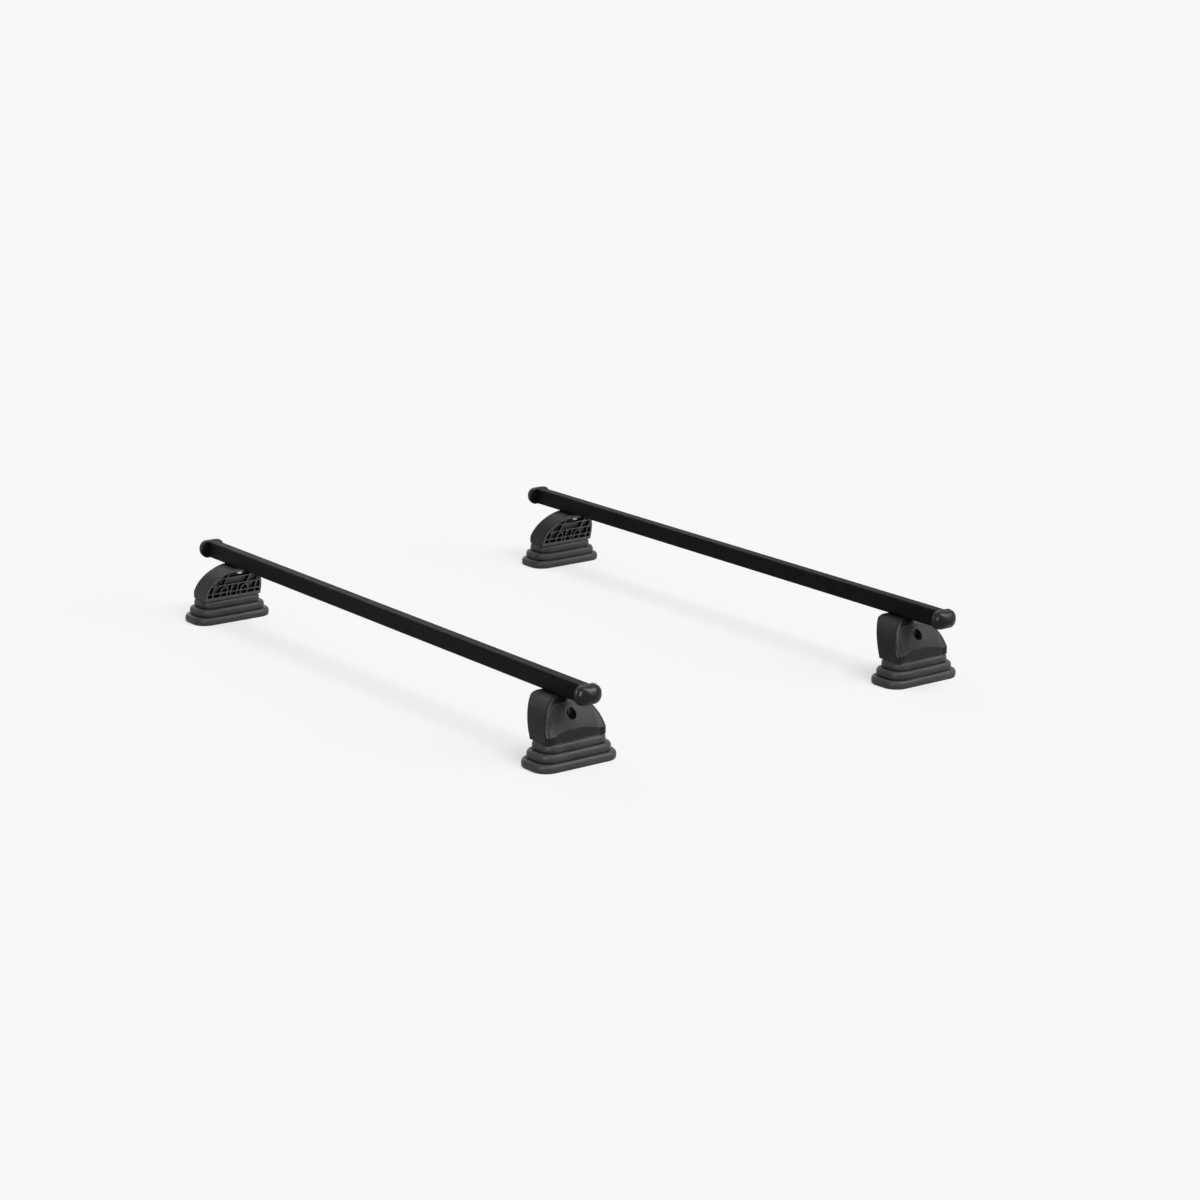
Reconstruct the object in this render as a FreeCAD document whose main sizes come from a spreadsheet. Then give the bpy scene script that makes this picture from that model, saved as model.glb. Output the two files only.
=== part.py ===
import FreeCAD, Part
import os
import re
import Sketcher

# A pair of roof crossbars. X runs across the bars with the front bar at -X, Y runs along the bars with
# the left feet at -Y, and Z is up. The origin is midway between the four feet, on the plane that the
# undersides of the rubber pads rest on. A foot is modelled once, as a left one with its outboard side
# at -Y and its own origin on that plane, and is then placed four times.

doc = FreeCAD.newDocument("roof_crossbars")

# Driving dimensions in millimetres
SIZES = [
    ("bar_length", 1180, "tube of a crossbar, end to end"),
    ("bar_spacing", 745, "front bar to rear bar, centre to centre"),
    ("bar_width", 20, "tube section across the bar"),
    ("bar_height", 30, "tube section upwards"),
    ("bar_wall", 1.5, "tube wall"),
    ("bar_corner", 3, "outside corner radius of the tube"),
    ("front_overhang", 46, "tube's end to the middle of a front foot"),
    ("rear_overhang", 66, "tube's end to the middle of a rear foot"),
    ("cap_width", 48, "end cap head across the bar"),
    ("cap_height", 33, "end cap head upwards"),
    ("cap_corner", 15, "corner radius of the end cap head"),
    ("cap_length", 21, "end cap head past the tube's end"),
    ("cap_dome", 30, "radius of the end cap's domed end"),
    ("cap_crown", 4, "rounding of the end cap's outer rim"),
    ("cap_rim", 2.5, "rounding of the end cap's inner rim"),
    ("plug_length", 24, "end cap plug inside the tube"),
    ("plug_wall", 2.2, "wall of the hollow plug"),
    ("plug_gap", 0.2, "room between the plug and the tube"),
    ("pad_height", 42, "rubber pad, underside to tower"),
    ("pad_width", 156, "rubber pad at its underside, across the bar"),
    ("pad_depth", 76, "rubber pad at its underside, along the bar"),
    ("pad_corner", 26, "corner radius of the pad at its underside"),
    ("pad_step_width", 17, "narrowing of each pad tier across the bar"),
    ("pad_step_depth", 10, "narrowing of each pad tier along the bar"),
    ("pad_round", 5, "rounding of each pad tier's upper edge"),
    ("tower_height", 65, "tower, pad to bar"),
    ("base_width", 116, "tower base across the bar"),
    ("base_depth", 48, "tower base along the bar"),
    ("skirt_height", 12, "upright band at the tower's base"),
    ("dome_start", 8, "upright part of the tower's flanks"),
    ("dome_radius", 60, "curve of the tower's flanks"),
    ("outer_lean", 37, "lean of the tower's outboard face"),
    ("outer_radius", 260, "curve of the tower's outboard face"),
    ("inner_lean", 46, "lean of the tower's inboard side"),
    ("inner_radius", 110, "curve of the tower's inboard side"),
    ("corner_round", 7, "rounding of the tower's outboard corners"),
    ("brow_round", 3.5, "rounding of the tower's top inboard edge"),
    ("tower_wall", 3.5, "flank walls of the tower"),
    ("face_wall", 6, "outboard wall of the tower"),
    ("floor_thickness", 6, "floor of the tower"),
    ("shelf_thickness", 7, "shelf of the tower under the bar"),
    ("web_thickness", 3.4, "wall between the tower's two rooms"),
    ("web_foot", 9, "web's inboard face to the inboard side, at the floor"),
    ("web_head", 26.5, "web's inboard face to the top inboard edge, at the shelf"),
    ("rib_thickness", 2, "ribs on the inboard side"),
    ("rib_first", 14, "lowest level rib above the pad"),
    ("rib_pitch", 16, "level rib to level rib"),
    ("arch_place", 21, "arched boss from the tower's middle"),
    ("arch_outside", 16, "width of an arched boss"),
    ("arch_rise", 18, "spring line of an arched boss above the pad"),
    ("inner_rib_place", 6.5, "middle upright ribs from the tower's middle"),
    ("outer_rib_place", 44, "side upright ribs from the tower's middle"),
    ("cell_rib_place", 24, "upper upright ribs beside the bar bolt"),
    ("cover_width", 82, "cover across the bar"),
    ("cover_thickness", 3, "wall of the cover"),
    ("cover_gap", 0.3, "seam round the cover"),
    ("cover_drop", 11, "cover's upper edge below the tower's top"),
    ("cover_ledge", 3, "ledge that the cover rests on"),
    ("cheek_width", 6, "least width of the tower's face beside the cover"),
    ("badge_rise", 1.5, "badge plate's lower edge above the pad"),
    ("badge_arch", 7, "rise of the badge plate's arched upper edge"),
    ("badge_thickness", 1.6, "badge plate"),
    ("lock_rise", 39, "lock axis above the pad"),
    ("lock_depth", 27, "barrel face behind the tower's outboard edge"),
    ("lock_bore", 17.5, "key opening of the lock sleeve"),
    ("sleeve_wall", 1.25, "wall of the lock sleeve at the key opening"),
    ("sleeve_length", 17, "barrel face to the sleeve's rear end"),
    ("barrel_diameter", 14, "lock barrel"),
    ("barrel_flange", 2, "thickness of the barrel's front flange"),
    ("barrel_fit", 0.05, "radial running clearance of the barrel"),
    ("flange_gap", 0.3, "clearance round the barrel's flange and behind it"),
    ("keyway_width", 2.2, "keyway"),
    ("keyway_height", 8, "keyway, upwards"),
    ("keyway_depth", 9, "keyway into the barrel"),
    ("spigot_diameter", 8, "barrel's rear spigot that carries the cam"),
    ("cam_thickness", 2, "lock cam"),
    ("cam_width", 12, "lock cam"),
    ("cam_reach", 17, "lock axis to the cam's tip"),
    ("cam_gap", 0.3, "sleeve to cam"),
    ("keeper_gap", 1.3, "cam to the tower's nose that it locks behind"),
    ("cam_screw_diameter", 4, "shank of the cam screw"),
    ("cam_screw_head", 9, "head of the cam screw"),
    ("cam_screw_head_height", 2.4, "head of the cam screw"),
    ("cam_screw_length", 8, "shank of the cam screw"),
    ("thread_diameter", 6, "roof bolts and bar bolts"),
    ("shank_diameter", 5.3, "plain shank of a roof bolt above its thread"),
    ("hex_flats", 10, "bolt heads across flats"),
    ("hex_height", 4, "bolt heads"),
    ("washer_diameter", 12, "washers"),
    ("washer_thickness", 1.6, "washers"),
    ("bolt_play", 0.3, "radial clearance of bolts in their holes"),
    ("thread_fit", 0.05, "radial clearance in a threaded hole"),
    ("bolt_shift", 3, "roof bolt outboard of the foot's middle"),
    ("roof_reach", 14, "roof bolt below the pad"),
    ("plate_width", 84, "steel foot plate across the bar"),
    ("plate_depth", 26, "steel foot plate along the bar"),
    ("plate_thickness", 3, "steel foot plate"),
    ("plate_corner", 4, "corner radius of the foot plate"),
    ("clamp_inboard", 50, "inboard bar bolt from the foot's middle"),
    ("clamp_spacing", 20, "bar bolt to bar bolt"),
    ("nut_width", 14, "nut plate inside the tube"),
    ("nut_length", 42, "nut plate along the bar"),
    ("nut_thickness", 5, "nut plate"),
    ("nut_corner", 2, "corner radius of the nut plate"),
    ("bolt_tail", 2, "bar bolt past the nut plate"),
    ("cut_past", 1, "how far a cut runs past the face that it opens"),
]

sheet = doc.addObject("Spreadsheet::Sheet", "Sizes")
for row, (alias, value, meaning) in enumerate(SIZES, start=1):
    sheet.set(f"A{row}", meaning)
    sheet.set(f"B{row}", str(value))
    sheet.setAlias(f"B{row}", alias)
doc.recompute()
ALIASES = {alias for alias, value, meaning in SIZES}


def bound(expression):
    """The expression with every size read from the sheet."""
    return re.sub(r"[a-z_]+", lambda m: "Sizes." + m[0] if m[0] in ALIASES else m[0], expression)


def number(expression):
    """The expression's present value."""
    return float(sheet.evalExpression(bound(expression)))


def bind(thing, **expressions):
    """Ties properties of an object to the sheet."""
    for name, expression in expressions.items():
        thing.setExpression(name, bound(expression))


# Lengths in millimetres that differ by less than this are equal
SAME = 1e-4

# Counts
PAD_TIERS = 3
LEVEL_RIBS = 3
HEX_SIDES = 6

# Levels and places of a foot, as expressions of the sizes
OUTER_EDGE = "(-base_depth / 2)"
SKIRT_TOP = "(pad_height + skirt_height)"
DOME_FOOT = "(pad_height + dome_start)"
FLOOR_TOP = "(pad_height + floor_thickness)"
BAR_BOTTOM = "(pad_height + tower_height)"
SHELF_BOTTOM = "(pad_height + tower_height - shelf_thickness)"
COVER_TOP = "(pad_height + tower_height - cover_drop)"
LOCK_AXIS = "(pad_height + lock_rise)"
LOCK_FACE = "(lock_depth - base_depth / 2)"
CAM_FRONT = f"({LOCK_FACE} + sleeve_length + cam_gap)"
SLEEVE_RADIUS = "(lock_bore / 2 + sleeve_wall)"
ROOF_BOLT = "(-bolt_shift)"
CLAMP_PLACES = ("clamp_inboard", "(clamp_inboard - clamp_spacing)")
BOLT_HOLE = "(thread_diameter / 2 + bolt_play)"
THREAD_HOLE = "(thread_diameter / 2 + thread_fit)"

# Middle of a foot from the middle of its bar
FRONT_REACH = "(bar_length / 2 - front_overhang)"
REAR_REACH = "(bar_length / 2 - rear_overhang)"


def arc_face(level, inset, start, base, lean, foot, radius):
    """Where a leaning face of the tower lies at a level, set in by a wall."""
    rise = f"(tower_height - {foot})"
    bend = f"sqrt({radius}^2 / ({lean}^2 + {rise}^2) - 0.25)"
    middle = f"({base} + {lean} / 2 + {rise} * {bend})"
    height = f"({start} + {rise} / 2 - {lean} * {bend})"
    return f"({middle} - sqrt(({radius} - {inset})^2 - ({level} - {height})^2))"


def outer_face(level, inset="0"):
    return arc_face(level, inset, SKIRT_TOP, OUTER_EDGE, "outer_lean", "skirt_height", "outer_radius")


def dome(level, inset="0"):
    """Half the tower's width at a level, set in by a wall."""
    rise = f"({level} - {DOME_FOOT})"
    return f"(base_width / 2 - dome_radius + sqrt((dome_radius - {inset})^2 - {rise}^2))"


def dome_level(half, inset):
    """The level at which the set-in dome is this wide."""
    return f"({DOME_FOOT} + sqrt((dome_radius - {inset})^2 - ({half} - base_width / 2 + dome_radius)^2))"


def sketch_on(body, plane, name, offset="0"):
    """A sketch on one of the body's own planes, moved along the plane's normal."""
    sketch = body.newObject("Sketcher::SketchObject", name)
    support = next(item for item in body.Origin.OriginFeatures if item.Role == plane)
    sketch.AttachmentSupport = [(support, "")]
    sketch.MapMode = "FlatFace"
    sketch.setExpression("AttachmentOffset.Base.z", bound(offset))
    return sketch


def hold(sketch, kind, *place, to):
    """A dimension of the sketch, tied to the sheet."""
    index = sketch.addConstraint(Sketcher.Constraint(kind, *place, number(to)))
    sketch.setExpression(f"Constraints[{index}]", bound(to))


def outline(sketch, corners, arcs=None):
    """A closed outline through corners; arcs gives the radius and turn of the edges that are round."""
    arcs = arcs or {}
    spots = [FreeCAD.Vector(number(x), number(y), 0) for x, y in corners]
    ends = []
    for index, begin in enumerate(spots):
        finish = spots[(index + 1) % len(spots)]
        if index in arcs:
            radius, turn = arcs[index]
            first, last = (begin, finish) if turn > 0 else (finish, begin)
            size = number(radius)
            chord = last - first
            reach = max(size**2 - chord.Length**2 / 4, 0) ** 0.5
            side = FreeCAD.Vector(-chord.y, chord.x, 0).normalize()
            centre = (first + last) / 2 + side * reach
            start_angle = FreeCAD.Vector(1, 0, 0).getAngle(first - centre)
            start_angle = start_angle if first.y >= centre.y else -start_angle
            end_angle = FreeCAD.Vector(1, 0, 0).getAngle(last - centre)
            end_angle = end_angle if last.y >= centre.y else -end_angle
            circle = Part.Circle(centre, FreeCAD.Vector(0, 0, 1), size)
            edge = sketch.addGeometry(Part.ArcOfCircle(circle, start_angle, end_angle))
            hold(sketch, "Radius", edge, to=radius)
            ends.append((edge, 1, 2) if turn > 0 else (edge, 2, 1))
        else:
            edge = sketch.addGeometry(Part.LineSegment(begin, finish))
            ends.append((edge, 1, 2))
    for index, (edge, first, last) in enumerate(ends):
        next_edge, next_first, next_last = ends[(index + 1) % len(ends)]
        sketch.addConstraint(Sketcher.Constraint("Coincident", edge, last, next_edge, next_first))
    for (x, y), (edge, first, last) in zip(corners, ends):
        hold(sketch, "DistanceX", edge, first, to=x)
        hold(sketch, "DistanceY", edge, first, to=y)


def circle(sketch, x, y, radius):
    """A circle tied to the sheet."""
    middle = FreeCAD.Vector(number(x), number(y), 0)
    edge = sketch.addGeometry(Part.Circle(middle, FreeCAD.Vector(0, 0, 1), number(radius)))
    hold(sketch, "Radius", edge, to=radius)
    hold(sketch, "DistanceX", edge, 3, to=x)
    hold(sketch, "DistanceY", edge, 3, to=y)


def rectangle(sketch, left, right, low, high):
    outline(sketch, [(left, low), (right, low), (right, high), (left, high)])


def round_rectangle(sketch, width, height, corner, x="0", y="0"):
    """A rectangle with round corners about a middle."""
    left, right = f"{x} - {width} / 2", f"{x} + {width} / 2"
    low, high = f"{y} - {height} / 2", f"{y} + {height} / 2"
    corners = [
        (f"{left} + {corner}", low),
        (f"{right} - {corner}", low),
        (right, f"{low} + {corner}"),
        (right, f"{high} - {corner}"),
        (f"{right} - {corner}", high),
        (f"{left} + {corner}", high),
        (left, f"{high} - {corner}"),
        (left, f"{low} + {corner}"),
    ]
    outline(sketch, corners, {edge: (corner, 1) for edge in (1, 3, 5, 7)})


def new_body(name):
    body = doc.addObject("PartDesign::Body", name)
    body.Label = name
    return body


def feature(body, kind, sketch, name, length=None, sides="One side", reverse=False):
    """A pad or pocket of a sketch; with no length it goes right through."""
    step = body.newObject(f"PartDesign::{kind}", name)
    step.Profile = sketch
    step.SideType = sides
    step.Reversed = reverse
    if length is None:
        step.Type = "ThroughAll"
    else:
        bind(step, Length=length)
    sketch.Visibility = False
    return step


def pad_along(body, name, start, end, draw):
    """A pad along Y from start to end of what draw puts in its sketch."""
    sketch = sketch_on(body, "XZ_Plane", f"{name}_outline", f"-({start})")
    draw(sketch)
    return feature(body, "Pad", sketch, name, f"{end} - ({start})", reverse=True)


def pocket_along(body, name, start, length, draw, outboard=False):
    """A pocket inboard or outboard from start of what draw puts in its sketch."""
    sketch = sketch_on(body, "XZ_Plane", f"{name}_outline", f"-({start})")
    draw(sketch)
    return feature(body, "Pocket", sketch, name, length, reverse=outboard)


def fillet(body, name, base, edges, radius):
    """Rounds the edges of a feature that a test picks."""
    doc.recompute()
    picked = [f"Edge{n}" for n, edge in enumerate(base.Shape.Edges, start=1) if edges(edge)]
    step = body.newObject("PartDesign::Fillet", name)
    step.Base = (base, picked)
    bind(step, Radius=radius)
    return step


def rises(edge):
    """Whether an edge climbs from one level to another."""
    levels = [vertex.Point.z for vertex in edge.Vertexes]
    return max(levels) - min(levels) > SAME


def at_y(edge, place):
    """Whether an edge lies wholly at one place along the bar."""
    box = edge.BoundBox
    return abs(box.YMin - place) < SAME and abs(box.YMax - place) < SAME


# What the tower, its rooms and its cover have in common

def dome_outline(sketch, inset, low, high):
    """The tower seen along the bar, set in by a wall: upright below, domed above."""
    side = f"(base_width / 2 - {inset})"
    corners = [
        (f"-{side}", low),
        (side, low),
        (side, DOME_FOOT),
        (dome(high, inset), high),
        (f"-{dome(high, inset)}", high),
        (f"-{side}", DOME_FOOT),
    ]
    radius = f"dome_radius - {inset}"
    outline(sketch, corners, {2: (radius, 1), 4: (radius, 1)})


def panel_outline(sketch, half, inset, low, high):
    """The cover seen along the bar: parallel sides below, following the dome above."""
    bend = dome_level(half, inset)
    corners = [
        (f"-{half}", low),
        (half, low),
        (half, bend),
        (dome(high, inset), high),
        (f"-{dome(high, inset)}", high),
        (f"-{half}", bend),
    ]
    radius = f"dome_radius - {inset}"
    outline(sketch, corners, {2: (radius, 1), 4: (radius, 1)})


def badge_outline(sketch, low, grow):
    """The badge plate seen along the bar, grown by a seam: upright sides and an arched upper edge."""
    half = f"(cover_width / 2 + {grow})"
    high = f"({SKIRT_TOP} + {grow})"
    corners = [(f"-{half}", low), (half, low), (half, high), (f"-{half}", high)]
    outline(sketch, corners, {2: (f"({half}^2 + badge_arch^2) / (2 * badge_arch)", 1)})


def frame_outline(sketch):
    """A border that lies outside everything in a foot."""
    rectangle(sketch, "-base_width", "base_width", "-pad_height", f"{BAR_BOTTOM} + tower_height")


def side_solid(body, corners, arcs):
    """A solid with the side outline drawn across the bar, as wide as the base."""
    sketch = sketch_on(body, "YZ_Plane", "side_outline")
    outline(sketch, corners, arcs)
    return feature(body, "Pad", sketch, "side_pad", "base_width", sides="Symmetric")


def trim_to(body, draw):
    """Cuts away everything outside the outline that is seen along the bar."""
    sketch = sketch_on(body, "XZ_Plane", "trim_outline")
    frame_outline(sketch)
    draw(sketch)
    return feature(body, "Pocket", sketch, "trim", sides="Symmetric")


# Crossbars: coated steel tubes with holes for the bar bolts in their undersides

def make_bar(name, reach):
    bar = new_body(name)
    sketch = sketch_on(bar, "XZ_Plane", "section")
    middle = "bar_height / 2"
    round_rectangle(sketch, "bar_width", "bar_height", "bar_corner", y=middle)
    inside = ("(bar_width - 2 * bar_wall)", "(bar_height - 2 * bar_wall)", "(bar_corner - bar_wall)")
    round_rectangle(sketch, *inside, y=middle)
    feature(bar, "Pad", sketch, "tube", "bar_length", sides="Symmetric")
    holes = sketch_on(bar, "XY_Plane", "bolt_places")
    for place in CLAMP_PLACES:
        for side in ("", "-"):
            circle(holes, "0", f"{side}({reach} - {place})", BOLT_HOLE)
    feature(bar, "Pocket", holes, "bolt_holes", "bar_height", sides="Symmetric")
    return bar


# End cap: a rounded head against the tube's end and a hollow plug inside it; its origin is under that end

def make_end_cap():
    cap = new_body("end_cap")
    middle = "bar_height / 2"
    pad_along(
        cap, "head", "-cap_length - cut_past", "0",
        lambda s: round_rectangle(s, "cap_width", "cap_height", "cap_corner", y=middle),
    )
    sketch = sketch_on(cap, "YZ_Plane", "dome_outline")
    sketch.setExpression("AttachmentOffset.Base.y", bound(middle))
    outside = "(-cap_length - 2 * cut_past)"
    corners = [
        ("-cap_length", "0"),
        (outside, "0"),
        (outside, "cap_dome"),
        ("cap_dome - cap_length", "cap_dome"),
    ]
    outline(sketch, corners, {3: ("cap_dome", 1)})
    domed = cap.newObject("PartDesign::Groove", "domed_end")
    domed.Profile = sketch
    domed.ReferenceAxis = (sketch, ["H_Axis"])
    sketch.Visibility = False
    tip = -number("cap_length")
    crown = fillet(
        cap, "crown", domed,
        lambda edge: edge.BoundBox.YMax < -SAME and all(v.Point.y > tip + SAME for v in edge.Vertexes),
        "cap_crown",
    )
    fillet(cap, "rim", crown, lambda edge: at_y(edge, 0), "cap_rim")
    width = "(bar_width - 2 * bar_wall - 2 * plug_gap)"
    height = "(bar_height - 2 * bar_wall - 2 * plug_gap)"
    corner = "(bar_corner - bar_wall)"
    pad_along(
        cap, "plug", "-cap_rim", "plug_length",
        lambda s: round_rectangle(s, width, height, corner, y=middle),
    )
    pocket_along(
        cap, "hollow", "0", "plug_length + cut_past",
        lambda s: rectangle(
            s, f"-{width} / 2 + plug_wall", f"{width} / 2 - plug_wall",
            f"{middle} - {height} / 2 + plug_wall", f"{middle} + {height} / 2 - plug_wall",
        ),
    )
    return cap


# Rubber pad: three stepped tiers with rounded shoulders and a hole for the roof bolt

def make_rubber_pad():
    pad = new_body("rubber_pad")
    for tier in range(PAD_TIERS):
        low = f"pad_height * {tier} / {PAD_TIERS}"
        high = f"pad_height * {tier + 1} / {PAD_TIERS}"
        sketch = sketch_on(pad, "XY_Plane", f"tier_{tier}_outline", low)
        width = f"(pad_width - {tier} * pad_step_width)"
        depth = f"(pad_depth - {tier} * pad_step_depth)"
        corner = f"(pad_corner - {tier} * pad_step_depth / 2)"
        round_rectangle(sketch, width, depth, corner)
        step = feature(pad, "Pad", sketch, f"tier_{tier}", f"{high} - {low}")
        level = number(high)
        fillet(
            pad, f"shoulder_{tier}", step,
            lambda edge: edge.BoundBox.ZMin > level - SAME, "pad_round",
        )
    sketch = sketch_on(pad, "XY_Plane", "bolt_place")
    circle(sketch, "0", ROOF_BOLT, BOLT_HOLE)
    feature(pad, "Pocket", sketch, "bolt_hole", sides="Symmetric")
    return pad


# Tower: a leaning dome with a room behind the cover and a ribbed inboard side

def make_tower():
    inner_start = ("base_depth / 2", "pad_height")
    inner_end = ("base_depth / 2 + inner_lean", BAR_BOTTOM)
    shell = new_body("tower_shell")
    side_solid(
        shell,
        [
            (OUTER_EDGE, "pad_height"),
            inner_start,
            inner_end,
            (f"{OUTER_EDGE} + outer_lean", BAR_BOTTOM),
            (OUTER_EDGE, SKIRT_TOP),
        ],
        {1: ("inner_radius", -1), 3: ("outer_radius", 1)},
    )
    trimmed = trim_to(shell, lambda s: dome_outline(s, "0", "pad_height", BAR_BOTTOM))
    front = number("base_depth / 2")
    corners = fillet(
        shell, "corners", trimmed,
        lambda edge: rises(edge) and edge.BoundBox.YMin < 0 and edge.BoundBox.YMax < front,
        "corner_round",
    )
    top, inboard = number(BAR_BOTTOM), number(inner_end[0])
    fillet(
        shell, "brow", corners,
        lambda edge: edge.BoundBox.ZMin > top - SAME and edge.BoundBox.YMin > inboard - SAME,
        "brow_round",
    )

    web_low = "(base_depth / 2 - web_foot)"
    web_high = "(base_depth / 2 + inner_lean - web_head)"
    outside = "(base_depth / 2 + 2 * inner_lean)"
    ribbed_room = new_body("ribbed_room")
    side_solid(
        ribbed_room,
        [(web_low, FLOOR_TOP), (outside, FLOOR_TOP), (outside, SHELF_BOTTOM), (web_high, SHELF_BOTTOM)],
        None,
    )
    trim_to(ribbed_room, lambda s: dome_outline(s, "tower_wall", "pad_height", SHELF_BOTTOM))
    cut_ribs(ribbed_room)

    cover_room = new_body("cover_room")
    front_low = outer_face(SKIRT_TOP, "face_wall")
    nose = f"({CAM_FRONT} - keeper_gap)"
    side_solid(
        cover_room,
        [
            (front_low, FLOOR_TOP),
            (f"{web_low} - web_thickness", FLOOR_TOP),
            (f"{web_high} - web_thickness", SHELF_BOTTOM),
            (nose, SHELF_BOTTOM),
            (nose, COVER_TOP),
            (outer_face(COVER_TOP, "face_wall"), COVER_TOP),
            (front_low, SKIRT_TOP),
        ],
        {5: ("outer_radius - face_wall", 1)},
    )
    trim_to(cover_room, lambda s: dome_outline(s, "tower_wall", "pad_height", SHELF_BOTTOM))

    tools = [
        ribbed_room,
        cover_room,
        face_cut(
            "cover_opening", "(face_wall + cover_gap)",
            f"({SKIRT_TOP} + cover_ledge)", "(-cover_ledge)",
        ),
        face_cut("cover_seat", "(cover_thickness + cover_gap)", SKIRT_TOP, "cover_gap"),
        badge_recess(),
        bolt_hole("roof_bolt_hole", ROOF_BOLT, "pad_height", FLOOR_TOP),
    ]
    for count, place in enumerate(CLAMP_PLACES):
        tools.append(bolt_hole(f"bar_bolt_hole_{count}", place, SHELF_BOTTOM, BAR_BOTTOM))
    cuts = doc.addObject("Part::MultiFuse", "tower_cuts")
    cuts.Shapes = tools
    tower = doc.addObject("Part::Cut", "tower")
    tower.Base = shell
    tower.Tool = cuts
    return tower


def cut_ribs(room):
    """Leaves the ribs and the arched bosses standing in the inboard room."""
    half = "rib_thickness / 2"
    level_ribs = sketch_on(room, "XZ_Plane", "level_rib_outline")
    for count in range(LEVEL_RIBS):
        level = f"(pad_height + rib_first + {count} * rib_pitch)"
        rectangle(level_ribs, "-base_width", "base_width", f"{level} - {half}", f"{level} + {half}")
    feature(room, "Pocket", level_ribs, "level_ribs", sides="Symmetric")

    second = "pad_height + rib_first + rib_pitch"
    uprights = (
        ("inner_rib_place", FLOOR_TOP, second),
        ("outer_rib_place", FLOOR_TOP, SHELF_BOTTOM),
        ("cell_rib_place", second, SHELF_BOTTOM),
    )
    for place, low, high in uprights:
        sketch = sketch_on(room, "XZ_Plane", f"{place}_outline")
        for side in ("", "-"):
            middle = f"{side}{place}"
            rectangle(
                sketch, f"{middle} - {half}", f"{middle} + {half}",
                f"{low} - cut_past", f"{high} + cut_past",
            )
        feature(room, "Pocket", sketch, f"{place}_ribs", sides="Symmetric")

    arches = sketch_on(room, "XZ_Plane", "arch_outline")
    spring = "(pad_height + arch_rise)"
    for side in ("", "-"):
        for radius in ("(arch_outside / 2)", "(arch_outside / 2 - rib_thickness)"):
            low = f"{FLOOR_TOP} - cut_past"
            left, right = f"{side}arch_place - {radius}", f"{side}arch_place + {radius}"
            corners = [
                (left, low),
                (right, low),
                (right, spring),
                (f"{side}arch_place", f"{spring} + {radius}"),
                (left, spring),
            ]
            outline(arches, corners, {2: (radius, 1), 3: (radius, 1)})
    feature(room, "Pocket", arches, "arches", sides="Symmetric")


def face_cut(name, depth, low, grow):
    """Cuts the cover's outline, grown all round, into the tower's outboard face."""
    body = new_body(name)
    high = f"({COVER_TOP} + {grow})"
    outside = "(-2 * base_depth)"
    side_solid(
        body,
        [
            (outside, low),
            (outer_face(low, depth), low),
            (outer_face(high, depth), high),
            (outside, high),
        ],
        {1: (f"outer_radius - {depth}", -1)},
    )
    half = f"(cover_width / 2 + {grow})"
    inset = f"(cheek_width - {grow})"
    trim_to(body, lambda s: panel_outline(s, half, inset, "pad_height", high))
    return body


def badge_recess():
    """A shallow place for the badge plate in the tower's upright band."""
    box = doc.addObject("Part::Box", "badge_recess")
    bind(
        box,
        Length="cover_width + 2 * cover_gap",
        Width="base_depth + badge_thickness",
        Height="skirt_height + cover_gap - badge_rise",
    )
    box.setExpression("Placement.Base.x", bound("-cover_width / 2 - cover_gap"))
    box.setExpression("Placement.Base.y", bound(f"{OUTER_EDGE} - base_depth"))
    box.setExpression("Placement.Base.z", bound("pad_height + badge_rise - cover_gap"))
    return box


def upright_cylinder(name, radius, place, low, high):
    """A cylinder along Z at a place along the bar."""
    rod = doc.addObject("Part::Cylinder", name)
    bind(rod, Radius=radius, Height=f"{high} - ({low})")
    rod.setExpression("Placement.Base.y", bound(place))
    rod.setExpression("Placement.Base.z", bound(low))
    return rod


def bolt_hole(name, place, low, high):
    """A cutter for a bolt's hole through a wall."""
    return upright_cylinder(name, BOLT_HOLE, place, f"{low} - cut_past", f"{high} + cut_past")


# Cover: a curved shell with a round hole for the lock sleeve and a recess behind the badge plate

def make_cover():
    cover = new_body("cover")
    side_solid(
        cover,
        [
            (outer_face(SKIRT_TOP, "cover_thickness"), SKIRT_TOP),
            (outer_face(COVER_TOP, "cover_thickness"), COVER_TOP),
            (outer_face(COVER_TOP), COVER_TOP),
            (outer_face(SKIRT_TOP), SKIRT_TOP),
        ],
        {0: ("outer_radius - cover_thickness", -1), 2: ("outer_radius", 1)},
    )
    low = f"({SKIRT_TOP} + cover_gap)"
    half = "(cover_width / 2)"
    trim_to(cover, lambda s: panel_outline(s, half, "cheek_width", low, COVER_TOP))
    pocket_along(
        cover, "badge_recess", f"{OUTER_EDGE} + badge_thickness + cover_gap", "base_depth",
        lambda s: badge_outline(s, "pad_height", "cover_gap"), outboard=True,
    )
    sketch = sketch_on(cover, "XZ_Plane", "lock_place")
    circle(sketch, "0", LOCK_AXIS, f"{SLEEVE_RADIUS} + barrel_fit")
    feature(cover, "Pocket", sketch, "lock_hole", sides="Symmetric")
    return cover


def make_badge_plate():
    plate = new_body("badge_plate")
    pad_along(
        plate, "plate", OUTER_EDGE, f"{OUTER_EDGE} + badge_thickness",
        lambda s: badge_outline(s, "(pad_height + badge_rise)", "0"),
    )
    return plate


# Lock: a sleeve in the cover, a barrel that turns in it, and a cam on the barrel's spigot

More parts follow.
